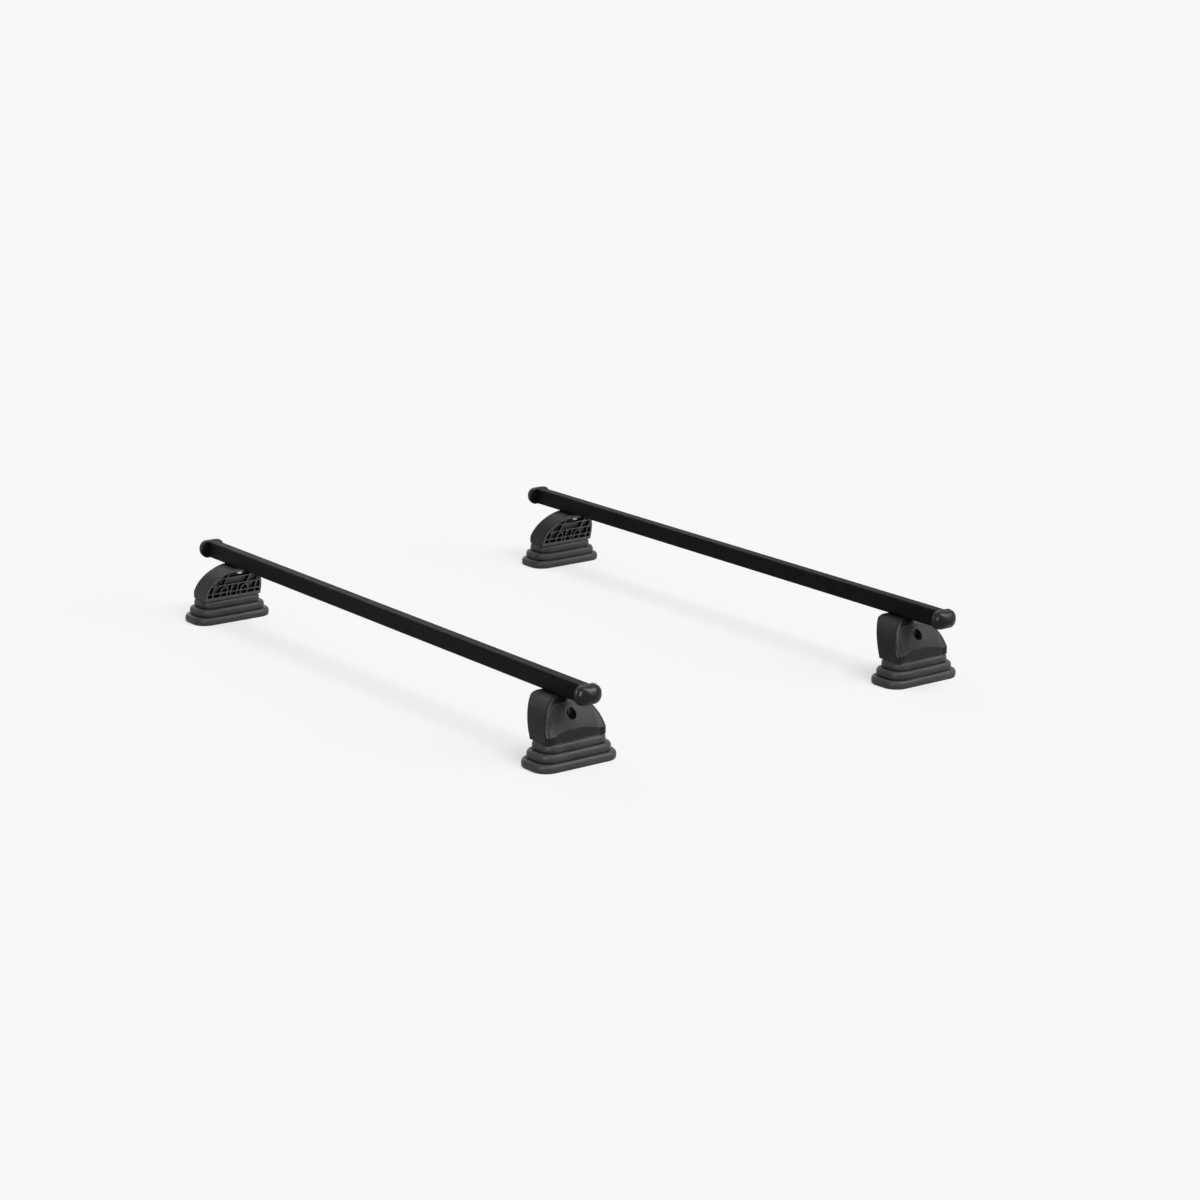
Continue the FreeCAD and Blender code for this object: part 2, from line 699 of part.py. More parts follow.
def make_lock_sleeve():
    sleeve = new_body("lock_sleeve")
    rear = f"({LOCK_FACE} + sleeve_length)"
    step = f"({LOCK_FACE} + barrel_flange + flange_gap)"
    pad_along(sleeve, "tube", OUTER_EDGE, rear, lambda s: circle(s, "0", LOCK_AXIS, SLEEVE_RADIUS))
    pocket_along(
        sleeve, "key_opening", step, "base_depth",
        lambda s: circle(s, "0", LOCK_AXIS, "lock_bore / 2"), outboard=True,
    )
    seat = sketch_on(sleeve, "XZ_Plane", "barrel_seat_outline")
    circle(seat, "0", LOCK_AXIS, "barrel_diameter / 2 + barrel_fit")
    feature(sleeve, "Pocket", seat, "barrel_seat", sides="Symmetric")
    slope = sketch_on(sleeve, "YZ_Plane", "slope_outline")
    low, high = f"({LOCK_AXIS} - lock_bore)", f"({LOCK_AXIS} + lock_bore)"
    outside = "(-2 * base_depth)"
    corners = [(outside, low), (outer_face(low), low), (outer_face(high), high), (outside, high)]
    outline(slope, corners, {1: ("outer_radius", -1)})
    feature(sleeve, "Pocket", slope, "slope", sides="Symmetric")
    return sleeve


def make_lock_barrel():
    barrel = new_body("lock_barrel")
    spigot_end = f"({CAM_FRONT} + cam_thickness)"
    steps = {
        "flange": ("(lock_bore / 2 - flange_gap)", f"({LOCK_FACE} + barrel_flange)"),
        "cylinder": ("barrel_diameter / 2", CAM_FRONT),
        "spigot": ("spigot_diameter / 2", spigot_end),
    }
    for name, (radius, end) in steps.items():
        pad_along(barrel, name, LOCK_FACE, end, lambda s: circle(s, "0", LOCK_AXIS, radius))
    pocket_along(
        barrel, "keyway", LOCK_FACE, "keyway_depth",
        lambda s: rectangle(
            s, "-keyway_width / 2", "keyway_width / 2",
            f"{LOCK_AXIS} - keyway_height / 2", f"{LOCK_AXIS} + keyway_height / 2",
        ),
    )
    pocket_along(
        barrel, "screw_hole", spigot_end, "cam_screw_length + cut_past",
        lambda s: circle(s, "0", LOCK_AXIS, "cam_screw_diameter / 2 + thread_fit"), outboard=True,
    )
    return barrel


def make_lock_cam():
    cam = new_body("lock_cam")
    half = "(cam_width / 2)"
    tip = f"({LOCK_AXIS} + cam_reach)"
    corners = [
        (f"-{half}", LOCK_AXIS),
        ("0", f"{LOCK_AXIS} - {half}"),
        (half, LOCK_AXIS),
        (half, f"{tip} - {half} / 2"),
        (f"{half} / 2", tip),
        (f"-{half} / 2", tip),
        (f"-{half}", f"{tip} - {half} / 2"),
    ]
    arcs = {0: (half, 1), 1: (half, 1), 3: (f"{half} / 2", 1), 5: (f"{half} / 2", 1)}

    def draw(sketch):
        outline(sketch, corners, arcs)
        circle(sketch, "0", LOCK_AXIS, "spigot_diameter / 2 + barrel_fit")

    pad_along(cam, "plate", CAM_FRONT, f"{CAM_FRONT} + cam_thickness", draw)
    return cam


def make_cam_screw():
    screw = new_body("cam_screw")
    seat = f"({CAM_FRONT} + cam_thickness)"
    pad_along(
        screw, "head", seat, f"{seat} + cam_screw_head_height",
        lambda s: circle(s, "0", LOCK_AXIS, "cam_screw_head / 2"),
    )
    pad_along(
        screw, "shank", f"{seat} - cam_screw_length", seat,
        lambda s: circle(s, "0", LOCK_AXIS, "cam_screw_diameter / 2"),
    )
    return screw


# Fastenings: foot plate and roof bolt in the tower's floor, bar bolts under the shelf

def flat_plate(name, width, depth, corner, place, low, thickness, holes, hole_radius):
    """A flat plate with round corners and bolt holes."""
    plate = new_body(name)
    sketch = sketch_on(plate, "XY_Plane", "outline", low)
    round_rectangle(sketch, width, depth, corner, y=place)
    for hole in holes:
        circle(sketch, "0", hole, hole_radius)
    feature(plate, "Pad", sketch, "plate", thickness)
    return plate


def washer(name, place, low):
    """A flat ring at a place along the bar."""
    ring = new_body(name)
    sketch = sketch_on(ring, "XY_Plane", "ring", low)
    circle(sketch, "0", place, "washer_diameter / 2")
    circle(sketch, "0", place, BOLT_HOLE)
    feature(ring, "Pad", sketch, "washer", "washer_thickness")
    return ring


def hex_bolt(name, place, head_low, stretches):
    """A bolt along Z: a six-sided head and the round stretches of its shank, each (radius, low, high)."""
    head = doc.addObject("Part::Prism", f"{name}_head")
    head.Polygon = HEX_SIDES
    bind(head, Circumradius="hex_flats / sqrt(3)", Height="hex_height")
    head.setExpression("Placement.Base.y", bound(place))
    head.setExpression("Placement.Base.z", bound(head_low))
    rods = [
        upright_cylinder(f"{name}_stretch_{count}", radius, place, low, high)
        for count, (radius, low, high) in enumerate(stretches)
    ]
    bolt = doc.addObject("Part::MultiFuse", name)
    bolt.Shapes = [head, *rods]
    return bolt


PLATE_TOP = f"({FLOOR_TOP} + plate_thickness)"
ROOF_HEAD = f"({PLATE_TOP} + washer_thickness)"
CLAMP_SEAT = f"({SHELF_BOTTOM} - washer_thickness)"
CLAMP_HEAD = f"({CLAMP_SEAT} - hex_height)"
NUT_LOW = f"({BAR_BOTTOM} + bar_wall)"
NUT_TOP = f"({NUT_LOW} + nut_thickness)"
CLAMP_MIDDLE = "(clamp_inboard - clamp_spacing / 2)"
THREAD_RADIUS = "thread_diameter / 2"
ROOF_STRETCHES = [(THREAD_RADIUS, "-roof_reach", "0"), ("shank_diameter / 2", "0", ROOF_HEAD)]
CLAMP_STRETCHES = [(THREAD_RADIUS, CLAMP_SEAT, f"{NUT_TOP} + bolt_tail")]

FOOT_PIECES = {
    "rubber_pad": make_rubber_pad(),
    "tower": make_tower(),
    "cover": make_cover(),
    "badge_plate": make_badge_plate(),
    "lock_sleeve": make_lock_sleeve(),
    "lock_barrel": make_lock_barrel(),
    "lock_cam": make_lock_cam(),
    "cam_screw": make_cam_screw(),
    "foot_plate": flat_plate(
        "foot_plate", "plate_width", "plate_depth", "plate_corner", ROOF_BOLT, FLOOR_TOP,
        "plate_thickness", (ROOF_BOLT,), BOLT_HOLE,
    ),
}
nut_plate = flat_plate(
    "nut_plate", "nut_width", "nut_length", "nut_corner", CLAMP_MIDDLE, NUT_LOW,
    "nut_thickness", CLAMP_PLACES, THREAD_HOLE,
)
FOOT_FASTENERS = {
    "roof_bolts": [hex_bolt("roof_bolt", ROOF_BOLT, ROOF_HEAD, ROOF_STRETCHES)],
    "roof_washers": [washer("roof_washer", ROOF_BOLT, PLATE_TOP)],
    "bar_bolts": [
        hex_bolt(f"bar_bolt_{count}", place, CLAMP_HEAD, CLAMP_STRETCHES)
        for count, place in enumerate(CLAMP_PLACES)
    ],
    "bar_washers": [
        washer(f"bar_washer_{count}", place, CLAMP_SEAT)
        for count, place in enumerate(CLAMP_PLACES)
    ],
    "nut_plates": [nut_plate],
}

# A left foot stands as modelled, and a right foot is turned half round, given as a quaternion about Z
LEFT = ("-", FreeCAD.Rotation())
RIGHT = ("", FreeCAD.Rotation(0, 0, 1, 0))

# Places of the four feet: which bar, the reach along it, and left or right
FEET = {
    "front_left": ("-bar_spacing / 2", FRONT_REACH, LEFT),
    "rear_left": ("bar_spacing / 2", REAR_REACH, LEFT),
    "front_right": ("-bar_spacing / 2", FRONT_REACH, RIGHT),
    "rear_right": ("bar_spacing / 2", REAR_REACH, RIGHT),
}


def placed(name, master, turn, x, y, z="0"):
    """A copy of a piece, turned and placed in the pair."""
    copy = doc.addObject("App::Link", name)
    copy.LinkedObject = master
    copy.Label = name
    copy.Placement = FreeCAD.Placement(FreeCAD.Vector(), turn)
    copy.setExpression("Placement.Base.x", bound(x))
    copy.setExpression("Placement.Base.y", bound(y))
    copy.setExpression("Placement.Base.z", bound(z))
    return copy


front_tube = make_bar("front_tube", FRONT_REACH)
rear_tube = make_bar("rear_tube", REAR_REACH)
as_modelled = FreeCAD.Rotation()
nodes = [
    placed("bar_front", front_tube, as_modelled, "-bar_spacing / 2", "0", BAR_BOTTOM),
    placed("bar_rear", rear_tube, as_modelled, "bar_spacing / 2", "0", BAR_BOTTOM),
]
end_cap = make_end_cap()
for foot, (x, reach, (side, turn)) in FEET.items():
    nodes.append(placed(f"end_cap_{foot}", end_cap, turn, x, f"{side}bar_length / 2", BAR_BOTTOM))
    for name, master in FOOT_PIECES.items():
        nodes.append(placed(f"{name}_{foot}", master, turn, x, f"{side}{reach}"))
for name, masters in FOOT_FASTENERS.items():
    copies = []
    for foot, (x, reach, (side, turn)) in FEET.items():
        for master in masters:
            copies.append(placed(f"{master.Label}_{foot}", master, turn, x, f"{side}{reach}"))
    group = doc.addObject("Part::Compound", name)
    group.Label = name
    group.Links = copies
    nodes.append(group)

doc.recompute()
for item in doc.Objects:
    if "Invalid" in item.State or "Error" in item.State:
        raise RuntimeError(f"{item.Label} failed: {item.State}")
for node in nodes:
    if node.Shape.isNull() or not node.Shape.isValid():
        raise RuntimeError(f"{node.Label} has no valid shape")

os.makedirs("parts", exist_ok=True)
for node in nodes:
    node.Shape.exportStep(f"parts/{node.Label}.step")
print(len(nodes), "pieces written")
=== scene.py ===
"""Looks of a pair of roof crossbars.

Coated steel bars with domed end caps stand on moulded feet with key locks and rubber pads.
"""

import math

import bmesh
import bpy
from mathutils import Matrix, Vector


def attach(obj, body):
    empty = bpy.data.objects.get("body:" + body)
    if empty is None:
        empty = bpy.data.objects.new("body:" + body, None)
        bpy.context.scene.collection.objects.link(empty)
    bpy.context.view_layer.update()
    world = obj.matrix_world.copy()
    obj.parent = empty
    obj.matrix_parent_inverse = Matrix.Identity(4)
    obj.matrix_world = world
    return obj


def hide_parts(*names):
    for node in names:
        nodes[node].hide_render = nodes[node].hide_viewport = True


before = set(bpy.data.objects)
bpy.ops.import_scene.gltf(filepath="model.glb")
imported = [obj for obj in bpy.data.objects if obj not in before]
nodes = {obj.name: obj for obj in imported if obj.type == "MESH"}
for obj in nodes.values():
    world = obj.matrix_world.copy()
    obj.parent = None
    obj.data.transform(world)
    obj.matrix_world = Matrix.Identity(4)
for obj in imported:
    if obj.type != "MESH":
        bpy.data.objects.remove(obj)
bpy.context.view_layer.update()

ROOT = "crossbars"
FEET = ("front_left", "rear_left", "front_right", "rear_right")

# New pieces are shaped in millimetres and placed in metres
MM = 0.001
SAME = 0.001
OVERLAP = 0.2
SHARP_FROM = math.radians(40.0)

# Middles of the feet: across the bars and along them
FOOT_PLACES = ((-372.5, -544.0), (372.5, -524.0), (-372.5, 544.0), (372.5, 524.0))

# Bolts: the thread with the turns that its end cuts take off, the shank, the head, the places
THREAD_RADIUS = 3.0
THREAD_ROOT = 2.45
THREAD_PITCH = 1.0
CREST_WIDTH = 0.125
STEPS_PER_TURN = 20
TURNS_BELOW = 2
SPARE_TURNS = 3
SHANK_RADIUS = 2.65
SHANK_STEPS = 32
SHANK_CHAMFER = 0.3
HEX_SIDES = 6
HEX_FLATS = 10.0
HEX_HEIGHT = 4.0
HEX_FACE_RADIUS = 4.75
CHAMFER_ANGLE = math.radians(30.0)
CHAMFER_CUTS = 24
ROOF_BOLT_OUTBOARD = 3.0
ROOF_BOLT_END = -14.0
ROOF_BOLT_SEAT = 52.6
BAR_BOLTS_INBOARD = (50.0, 30.0)
BAR_BOLT_NECK = 3.0
BAR_BOLT_SEAT = 98.4
BAR_BOLT_END = 115.5

# Rubber pads: a width and a depth per tier, and a tier's side as rises and insets from its groove
PAD_TIERS = ((156.0, 76.0), (139.0, 66.0), (122.0, 56.0))
PAD_CORNER = 26.0
TIER_HEIGHT = 14.0
TIER_PROFILE = (
    (-0.6, 2.4),
    (0.0, 1.2),
    (1.8, 0.35),
    (4.2, 0.0),
    (8.6, 0.0),
    (11.0, 0.7),
    (12.7, 1.9),
    (13.7, 3.5),
    (14.0, 5.2),
)
PAD_HOLE_RADIUS = 3.3
HOLE_STEPS = 24
CORNER_STEPS = 10

# End caps: the rim bead and its fine groove as levels and insets, the dome, the plug in the tube
TUBE_END = 590.0
TUBE_MIDDLE = 122.0
CAP_HALF_SIZES = (24.0, 16.5)
CAP_CORNER = 13.0
CAP_RIM = (
    (0.0, 2.5),
    (0.3, 1.3),
    (0.9, 0.4),
    (1.8, 0.0),
    (4.4, 0.0),
    (5.0, 0.2),
    (5.4, 0.7),
    (5.9, 1.0),
    (6.6, 0.8),
    (7.6, 0.6),
)
CAP_TIP = 21.0
DOME_STEPS = 12
DOME_POWER = 1.9
DOME_END = 0.97
PLUG_HALF_SIZES = (8.3, 13.3)
PLUG_LENGTH = 24.0
PLUG_WALL = 2.2

# Effects that the finishes share
COOL_TINT = 1.04
ZINC_TINT = 1.02
FINE_NOISE = {"Detail": 3.0, "Roughness": 0.65}
BROAD_NOISE = {"Detail": 4.0, "Roughness": 0.55, "Distortion": 0.4}
MOTTLE_PER_METRE = 40.0
MOTTLE_RANGE = (0.3, 0.7)
TONE_FROM = 0.7
TONE_GAIN = 1.7
CRYSTALS_PER_METRE = 700.0
EDGE_SAMPLES = 6
# Gain of the edge mask that paints edge wear and a painted highlight along the edges
WEAR_AND_SHEEN_GAIN = 5.0
# Ramp of the mask that paints a lighter tone, painted light, on the faces that look inboard
INBOARD_FROM = 0.35
INBOARD_GAIN = 3.0
BUMP_STRENGTH = 0.6
PLAIN_SPECULAR = 0.5

# Stage, in metres and degrees
WHITE = (1.0, 1.0, 1.0, 1.0)
FLOOR_SIZE = 60.0
FLOOR_PAINT = 0.8
FLOOR_WHITE_SHARE = 0.6
ROOM_LIGHT = 0.22
WIDE_LIGHTS = {
    "overhead": dict(place=(0.5, -1.0, 3.0), strength=2.3, spread=36.0),
    "side_light": dict(place=(2.1, -3.2, 1.3), strength=1.0, spread=40.0),
    "back_fill": dict(place=(0.7, 3.3, 1.2), strength=0.45, spread=40.0),
}
GLOSS_PANELS = {
    "corner_strip": dict(
        place=(-2.6, -1.85, 1.2), aim=(-0.2, -0.5, 0.1), width=0.4, height=1.8, power=130.0,
    ),
    "cap_panel": dict(
        place=(2.7, -3.7, 4.3), aim=(0.0, -0.6, 0.12), width=3.0, height=3.0, power=420.0,
    ),
}

# Camera
LENS = 88.86
SENSOR = 36.0
AZIMUTH = -36.254
ELEVATION = 14.797
ROLL = -0.131
CAMERA_PLACE = (-2.9582, -4.1536, 1.4355)
CLIP_END = 200.0


# Shader tools

FLOAT = "NodeSocketFloat"
VECTOR = "NodeSocketVector"


def shader_group(name, inputs, outputs):
    """A new node group; an input has a socket type and a default, an output a socket type."""
    tree = bpy.data.node_groups.new(name, "ShaderNodeTree")
    for label, (kind, default) in inputs.items():
        socket = tree.interface.new_socket(label, in_out="INPUT", socket_type=kind)
        if default is not None:
            socket.default_value = default
    for label, kind in outputs.items():
        tree.interface.new_socket(label, in_out="OUTPUT", socket_type=kind)
    return tree, tree.nodes.new("NodeGroupInput"), tree.nodes.new("NodeGroupOutput")


def add(tree, kind, values=None, **settings):
    """A node with its settings and the values of its input sockets."""
    node = tree.nodes.new(kind)
    for key, value in settings.items():
        setattr(node, key, value)
    for label, value in (values or {}).items():
        node.inputs[label].default_value = value
    return node


def maths(tree, operation, *values, clamp=False):
    """A Math node of one or two values, each a socket or a number."""
    node = add(tree, "ShaderNodeMath", operation=operation, use_clamp=clamp)
    for place, value in enumerate(values):
        if isinstance(value, (int, float)):
            node.inputs[place].default_value = value
        else:
            tree.links.new(value, node.inputs[place])
    return node.outputs[0]


def ramp(tree, value, start, gain):
    """A mask that rises from 0 to 1, from a start on and with a gain."""
    return maths(tree, "MULTIPLY", maths(tree, "SUBTRACT", value, start), gain, clamp=True)


def blend_colours(tree, mask, first, second):
    """A colour that goes from the first to the second with a mask; each is a socket or a colour."""
    mix = add(tree, "ShaderNodeMix", data_type="RGBA")
    tree.links.new(mask, mix.inputs["Factor"])
    for label, colour in (("A", first), ("B", second)):
        socket = next(s for s in mix.inputs if s.name == label and s.type == "RGBA")
        if isinstance(colour, tuple):
            socket.default_value = (*colour, 1.0)
        else:
            tree.links.new(colour, socket)
    return next(s for s in mix.outputs if s.type == "RGBA")


def grey(level, tint=COOL_TINT):
    return (level, level, level * tint)


# Effects, each built once and placed in the finishes with their own values

def surface_grain_group():
    """Moulded or sprayed grain: a height for a bump, a broad soft mottle, and a tone of both."""
    tree, start, end = shader_group(
        "surface_grain",
        {
            "Place": (VECTOR, None),
            "Grain per metre": (FLOAT, None),
            "Mottle per metre": (FLOAT, MOTTLE_PER_METRE),
        },
        {"Height": FLOAT, "Mottle": FLOAT, "Tone": FLOAT},
    )
    fine = add(tree, "ShaderNodeTexNoise", FINE_NOISE)
    broad = add(tree, "ShaderNodeTexNoise", BROAD_NOISE)
    for noise, scale in ((fine, "Grain per metre"), (broad, "Mottle per metre")):
        tree.links.new(start.outputs["Place"], noise.inputs["Vector"])
        tree.links.new(start.outputs[scale], noise.inputs["Scale"])
    tree.links.new(fine.outputs["Fac"], end.inputs["Height"])
    tree.links.new(broad.outputs["Fac"], end.inputs["Mottle"])
    both = maths(tree, "ADD", fine.outputs["Fac"], broad.outputs["Fac"])
    tree.links.new(ramp(tree, both, TONE_FROM, TONE_GAIN), end.inputs["Tone"])
    return tree


def soft_edges_group():
    """The small radius that tooling leaves on an edge: a normal, and an edge mask for wear and a
    painted highlight.
    """
    tree, start, end = shader_group(
        "soft_edges", {"Radius": (FLOAT, None)}, {"Normal": VECTOR, "Wear and sheen": FLOAT},
    )
    rounded = add(tree, "ShaderNodeBevel", samples=EDGE_SAMPLES)
    surface = add(tree, "ShaderNodeNewGeometry")
    turn = add(tree, "ShaderNodeVectorMath", operation="DOT_PRODUCT")
    tree.links.new(start.outputs["Radius"], rounded.inputs["Radius"])
    tree.links.new(rounded.outputs["Normal"], turn.inputs[0])
    tree.links.new(surface.outputs["Normal"], turn.inputs[1])
    away = maths(tree, "SUBTRACT", 1.0, turn.outputs["Value"])
    tree.links.new(maths(tree, "MULTIPLY", away, WEAR_AND_SHEEN_GAIN, clamp=True), end.inputs["Wear and sheen"])
    tree.links.new(rounded.outputs["Normal"], end.inputs["Normal"])
    return tree


def between_group():
    """A value that slides between a low and a high one with a mottle."""
    tree, start, end = shader_group(
        "between",
        {"Mask": (FLOAT, None), "Low": (FLOAT, None), "High": (FLOAT, None)},
        {"Value": FLOAT},
    )
    lowest, highest = MOTTLE_RANGE
    slide = add(tree, "ShaderNodeMapRange", {"From Min": lowest, "From Max": highest})
    tree.links.new(start.outputs["Mask"], slide.inputs["Value"])
    tree.links.new(start.outputs["Low"], slide.inputs["To Min"])
    tree.links.new(start.outputs["High"], slide.inputs["To Max"])
    tree.links.new(slide.outputs["Result"], end.inputs["Value"])
    return tree


def plating_group():
    """Zinc plating: small crystal patches of slightly different tone."""
    tree, start, end = shader_group(
        "plating",
        {"Place": (VECTOR, None), "Patches per metre": (FLOAT, CRYSTALS_PER_METRE)},
        {"Tone": FLOAT},
    )
    patches = add(tree, "ShaderNodeTexVoronoi", feature="SMOOTH_F1")
    tree.links.new(start.outputs["Place"], patches.inputs["Vector"])
    tree.links.new(start.outputs["Patches per metre"], patches.inputs["Scale"])
    split = add(tree, "ShaderNodeSeparateColor")
    tree.links.new(patches.outputs["Color"], split.inputs["Color"])
    tree.links.new(split.outputs["Red"], end.inputs["Tone"])
    return tree


def inboard_side_group():
    """A mask of the faces that look inboard, towards the middle of the bars, where a lighter tone
    is painted as light.
    """
    tree, start, end = shader_group("inboard_side", {"Place": (VECTOR, None)}, {"Mask": FLOAT})
    surface = add(tree, "ShaderNodeNewGeometry")
    facing = add(tree, "ShaderNodeSeparateXYZ")
    spot = add(tree, "ShaderNodeSeparateXYZ")
    tree.links.new(surface.outputs["Normal"], facing.inputs[0])
    tree.links.new(start.outputs["Place"], spot.inputs[0])
    side = maths(tree, "SIGN", spot.outputs["Y"])
    inwards = maths(tree, "MULTIPLY", facing.outputs["Y"], maths(tree, "MULTIPLY", side, -1.0))
    tree.links.new(ramp(tree, inwards, INBOARD_FROM, INBOARD_GAIN), end.inputs["Mask"])
    return tree


SURFACE_GRAIN = surface_grain_group()
SOFT_EDGES = soft_edges_group()
BETWEEN = between_group()
PLATING = plating_group()
INBOARD_SIDE = inboard_side_group()


# Finishes

def finish(
    name, dark, light, rough, grain, depth, specular=PLAIN_SPECULAR, metallic=0.0,
    edge=None, edge_wear_and_sheen=None, inboard=None, plated=False,
):
    """A grained finish whose tone and gloss drift a little.

    The grain per metre and its depth make the bump. An edge radius softens the edges and shows
    the edge colour on them: partly wear, partly a painted highlight along the edges. The inboard
    colour is painted light, a lighter tone on the sides that look inboard. A plated finish takes
    its tone from crystals.
    """
    material = bpy.data.materials.new(name)
    material.use_nodes = True
    tree = material.node_tree
    shader = tree.nodes["Principled BSDF"]
    shader.inputs["Specular IOR Level"].default_value = specular
    shader.inputs["Metallic"].default_value = metallic
    place = add(tree, "ShaderNodeTexCoord").outputs["Object"]
    texture = add(tree, "ShaderNodeGroup", node_tree=SURFACE_GRAIN)
    texture.inputs["Grain per metre"].default_value = grain
    tree.links.new(place, texture.inputs["Place"])
    tone = texture.outputs["Tone"]
    if plated:
        crystals = add(tree, "ShaderNodeGroup", node_tree=PLATING)
        tree.links.new(place, crystals.inputs["Place"])
        tone = crystals.outputs["Tone"]
    body = blend_colours(tree, tone, dark, light)
    # Painted light: a lighter tone on the faces that look inboard
    if inboard:
        ribbed = add(tree, "ShaderNodeGroup", node_tree=INBOARD_SIDE)
        tree.links.new(place, ribbed.inputs["Place"])
        body = blend_colours(tree, ribbed.outputs["Mask"], body, inboard)
    bump = add(tree, "ShaderNodeBump", {"Strength": BUMP_STRENGTH, "Distance": depth})
    if edge:
        edges = add(tree, "ShaderNodeGroup", node_tree=SOFT_EDGES)
        edges.inputs["Radius"].default_value = edge
        # Edge colour: partly wear, partly a painted highlight along the edges, broken up by the
        # grain's tone
        wear_and_sheen = maths(tree, "MULTIPLY", edges.outputs["Wear and sheen"], texture.outputs["Tone"])
        body = blend_colours(tree, wear_and_sheen, body, edge_wear_and_sheen)
        tree.links.new(edges.outputs["Normal"], bump.inputs["Normal"])
    tree.links.new(body, shader.inputs["Base Color"])
    gloss = add(tree, "ShaderNodeGroup", node_tree=BETWEEN)
    gloss.inputs["Low"].default_value, gloss.inputs["High"].default_value = rough
    tree.links.new(texture.outputs["Mottle"], gloss.inputs["Mask"])
    tree.links.new(gloss.outputs["Value"], shader.inputs["Roughness"])
    tree.links.new(texture.outputs["Height"], bump.inputs["Height"])
    tree.links.new(bump.outputs["Normal"], shader.inputs["Normal"])
    return material


# The edge colours are partly wear and partly painted highlights along the edges
FINISH_VALUES = {
    "bar_coat": dict(
        dark=grey(0.003), light=grey(0.013), rough=(0.38, 0.48), grain=1200.0, depth=0.0006,
        specular=0.02, edge=0.0006, edge_wear_and_sheen=grey(0.06),
    ),
    "cap_plastic": dict(
        dark=grey(0.006), light=grey(0.010), rough=(0.26, 0.34), grain=2400.0, depth=0.00008,
        specular=0.14,
    ),
    # The tower's inboard colour is painted light on the faces that look inboard
    "tower_plastic": dict(
        dark=grey(0.003), light=grey(0.010), rough=(0.30, 0.40), grain=1300.0, depth=0.0003,
        specular=0.14, edge=0.0009, edge_wear_and_sheen=grey(0.24), inboard=grey(0.09),
    ),
    "cover_plastic": dict(
        dark=grey(0.020), light=grey(0.033), rough=(0.34, 0.42), grain=1800.0, depth=0.0002,
        specular=0.07, edge=0.0007, edge_wear_and_sheen=grey(0.26),
    ),
    "badge_gloss": dict(
        dark=grey(0.004), light=grey(0.006), rough=(0.06, 0.12), grain=900.0, depth=0.00001,
        specular=0.28, edge=0.0004, edge_wear_and_sheen=grey(0.02),
    ),
    "sleeve_plastic": dict(
        dark=grey(0.006), light=grey(0.009), rough=(0.36, 0.46), grain=2600.0, depth=0.00005,
        specular=0.12, edge=0.0004, edge_wear_and_sheen=grey(0.02),
    ),
    "lock_steel": dict(
        dark=grey(0.10), light=grey(0.15), rough=(0.26, 0.36), grain=1500.0, depth=0.00001,
        metallic=1.0, edge=0.0003, edge_wear_and_sheen=grey(0.35),
    ),
    "zinc_steel": dict(
        dark=grey(0.28, ZINC_TINT), light=grey(0.40, ZINC_TINT), rough=(0.26, 0.40),
        grain=1500.0, depth=0.00002, metallic=1.0, edge=0.0003, edge_wear_and_sheen=grey(0.55), plated=True,
    ),
    "pad_rubber": dict(
        dark=grey(0.024), light=grey(0.048), rough=(0.42, 0.54), grain=900.0, depth=0.0004,
        specular=0.18, edge=0.0006, edge_wear_and_sheen=grey(0.08),
    ),
}
FINISHES = {name: finish(name, **values) for name, values in FINISH_VALUES.items()}
NODE_FINISH = {
    "bar_front": "bar_coat",
    "bar_rear": "bar_coat",
    "end_cap": "cap_plastic",
    "rubber_pad": "pad_rubber",
    "tower": "tower_plastic",
    "cover": "cover_plastic",
    "badge_plate": "badge_gloss",
    "lock_sleeve": "sleeve_plastic",
    "lock_barrel": "lock_steel",
    "lock_cam": "zinc_steel",
    "cam_screw": "zinc_steel",
    "foot_plate": "zinc_steel",
    "roof_bolts": "zinc_steel",
    "roof_washers": "zinc_steel",
    "bar_bolts": "zinc_steel",
    "bar_washers": "zinc_steel",
    "nut_plates": "zinc_steel",
}


def kind_of(node):
    """A node's name without its foot."""
    for foot in FEET:
        node = node.removesuffix("_" + foot)
    return node


def dress_nodes():
    """Every CAD node takes its finish."""
    for name, thing in nodes.items():
        slot = NODE_FINISH[kind_of(name)]
        thing.data.materials.clear()
        thing.data.materials.append(FINISHES[slot])


# Tools for new pieces

def at_level(item, level):
    """Whether an edge or a face lies flat at a level."""
    return all(abs(vert.co.z - level) < SAME for vert in item.verts)


def open_edges(bm, level=None):
    """The edges round a mesh's holes: all of them, or those at a level."""
    rim = [edge for edge in bm.edges if edge.is_boundary]
    return rim if level is None else [edge for edge in rim if at_level(edge, level)]


def cut_away(bm, point, direction):
    """Takes away what lies beyond a plane and leaves the cut open."""
    everything = bm.verts[:] + bm.edges[:] + bm.faces[:]
    bmesh.ops.bisect_plane(
        bm, geom=everything, plane_co=point, plane_no=direction, clear_outer=True,
    )


def join(bm, other):
    """Adds another bmesh to this one."""
    mesh = bpy.data.meshes.new("joined")
    other.to_mesh(mesh)
    other.free()
    bm.from_mesh(mesh)
    bpy.data.meshes.remove(mesh)


def in_metres(spot, turn):
    """The matrix that turns a shape, takes it to its spot in millimetres, and scales to metres."""
    return Matrix.Scale(MM, 4) @ Matrix.Translation(spot) @ turn


def new_piece(name, bm, slot, replaced):
    """A finished piece at the origin that rides the root body and stands for a CAD node."""
    mesh = bpy.data.meshes.new(name)
    bm.to_mesh(mesh)
    bm.free()
    mesh.materials.append(FINISHES[slot])
    thing = bpy.data.objects.new(name, mesh)
    bpy.context.scene.collection.objects.link(thing)
    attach(thing, ROOT)
    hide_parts(replaced)
    return thing


def smooth_shading(thing):
    thing.data.shade_smooth()
    thing.data.set_sharp_from_angle(angle=SHARP_FROM)


# Bolts: chamfered hexagon heads, plain shanks and cut threads

